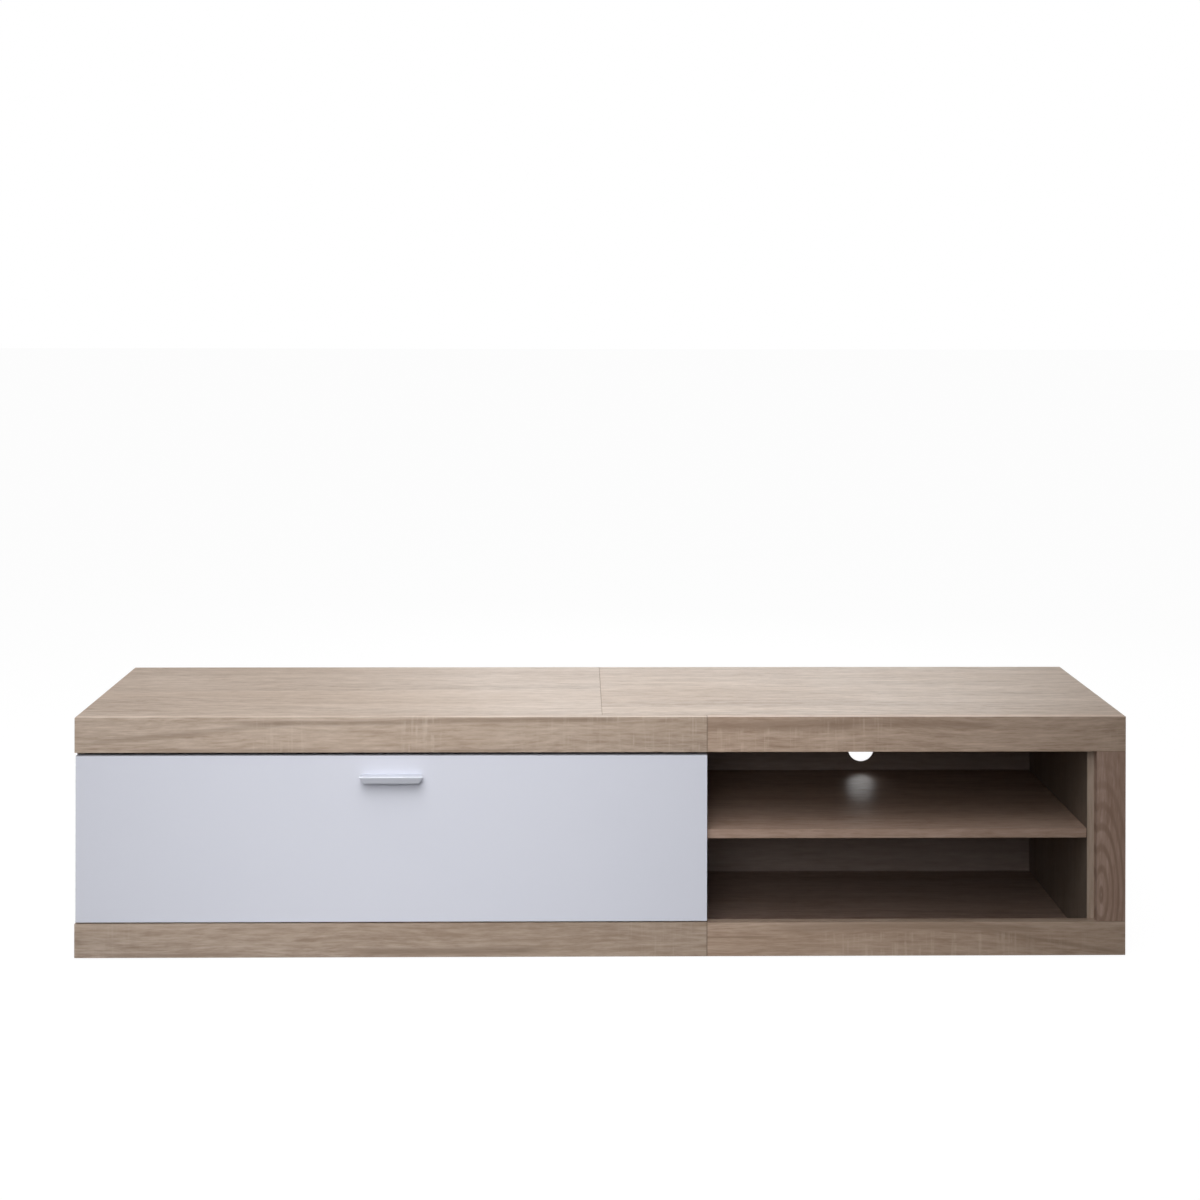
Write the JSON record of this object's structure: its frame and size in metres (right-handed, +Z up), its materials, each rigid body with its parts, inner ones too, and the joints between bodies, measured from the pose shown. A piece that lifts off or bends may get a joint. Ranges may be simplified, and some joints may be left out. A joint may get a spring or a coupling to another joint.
{
  "type": "tv stand with doors",
  "caption": "Long low TV stand in light oak board, with a wide white drop-down flap on the left and an open bay with a shelf and a cable hole on the right.",
  "frame": {"origin": "middle of the whole bounding box in X and Y, handle included, at floor level under the glides", "axes": "+X to the right along the front, +Y from the front to the back, +Z up"},
  "size_m": [1.8, 0.44, 0.413],
  "materials": {
    "oak_board": "light rough-sawn oak decor on particle board, matt, with fine pores",
    "back_board": "printed oak decor on thin hardboard",
    "white_front": "matt white foil on board",
    "handle_metal": "satin anodised",
    "plated_fitting": "zinc-plated pressed steel",
    "bright_steel": "bright zinc-plated steel",
    "white_plastic": "moulded nylon",
    "soft_bumper": "soft translucent pad",
    "beech": "plain beech, unfinished"
  },
  "bodies": {
    "cabinet": {"top_panel_left": "oak_board", "top_panel_right": "oak_board", "side_panel_left": "oak_board", "divider_panel": "oak_board", "inner_side_panel_right": "oak_board", "side_panel_right": "oak_board", "bottom_panel_left": "oak_board", "bottom_panel_right": "oak_board", "shelf": "oak_board", "back_panel_left": "back_board", "back_panel_right": "back_board", "top_fascia_left": "oak_board", "top_fascia_right": "oak_board", "bottom_fascia_left": "oak_board", "bottom_fascia_right": "oak_board", "right_post": "oak_board", "top_rail_front": "oak_board", "top_rail_rear": "oak_board", "hinge_rail": "oak_board", "side_spacers": "beech", "hinge_arm_1": "plated_fitting", "hinge_arm_2": "plated_fitting", "hinge_arm_3": "plated_fitting", "hinge_arm_screws": "bright_steel", "stay_plate_left": "plated_fitting", "stay_plate_right": "plated_fitting", "stay_plate_screws": "bright_steel", "magnet_catch_left": "white_plastic", "magnet_catch_right": "white_plastic", "catch_screws": "bright_steel", "shelf_pins": "plated_fitting", "cam_locks": "plated_fitting", "cam_bolts": "bright_steel", "dowels": "beech", "rail_screws": "bright_steel", "back_screws": "bright_steel", "glides": "white_plastic"},
    "flap": {"flap": "white_front", "flap_bumpers": "soft_bumper", "handle": "handle_metal", "handle_screws": "bright_steel", "hinge_leaf_1": "plated_fitting", "hinge_leaf_2": "plated_fitting", "hinge_leaf_3": "plated_fitting", "hinge_pin_1": "bright_steel", "hinge_pin_2": "bright_steel", "hinge_pin_3": "bright_steel", "hinge_leaf_screws": "bright_steel", "stay_bracket_left": "plated_fitting", "stay_bracket_right": "plated_fitting", "stay_bracket_screws": "bright_steel", "strike_plates": "bright_steel"},
    "stay_arm_left": {"stay_arm_left": "bright_steel"},
    "stay_arm_right": {"stay_arm_right": "bright_steel"},
    "stay_guide_left": {"stay_guide_left": "white_plastic"},
    "stay_guide_right": {"stay_guide_right": "white_plastic"}
  },
  "joints": [
    {"name": "flap_hinge", "type": "hinge", "parent": "cabinet", "child": "flap", "pos_m": [-0.36, -0.195, 0.0685], "axis": [1, 0, 0], "range_deg": [0, 90]},
    {"name": "stay_arm_left_pivot", "type": "hinge", "parent": "flap", "child": "stay_arm_left", "pos_m": [-0.87475, -0.172, 0.26717], "axis": [1, 0, 0], "range_deg": [-45, 0]},
    {"name": "stay_arm_right_pivot", "type": "hinge", "parent": "flap", "child": "stay_arm_right", "pos_m": [0.15475, -0.172, 0.26717], "axis": [1, 0, 0], "range_deg": [-45, 0]},
    {"name": "stay_guide_left_pivot", "type": "hinge", "parent": "cabinet", "child": "stay_guide_left", "pos_m": [-0.8795, -0.07575, 0.22906], "axis": [1, 0, 0], "range_deg": [0, 45]},
    {"name": "stay_guide_right_pivot", "type": "hinge", "parent": "cabinet", "child": "stay_guide_right", "pos_m": [0.1595, -0.07575, 0.22906], "axis": [1, 0, 0], "range_deg": [0, 45]}
  ],
  "couplings": [
    {"joint": "stay_arm_left_pivot", "follows": "flap_hinge", "ratio": -0.5},
    {"joint": "stay_arm_right_pivot", "follows": "flap_hinge", "ratio": -0.5},
    {"joint": "stay_guide_left_pivot", "follows": "flap_hinge", "ratio": 0.5},
    {"joint": "stay_guide_right_pivot", "follows": "flap_hinge", "ratio": 0.5}
  ]
}
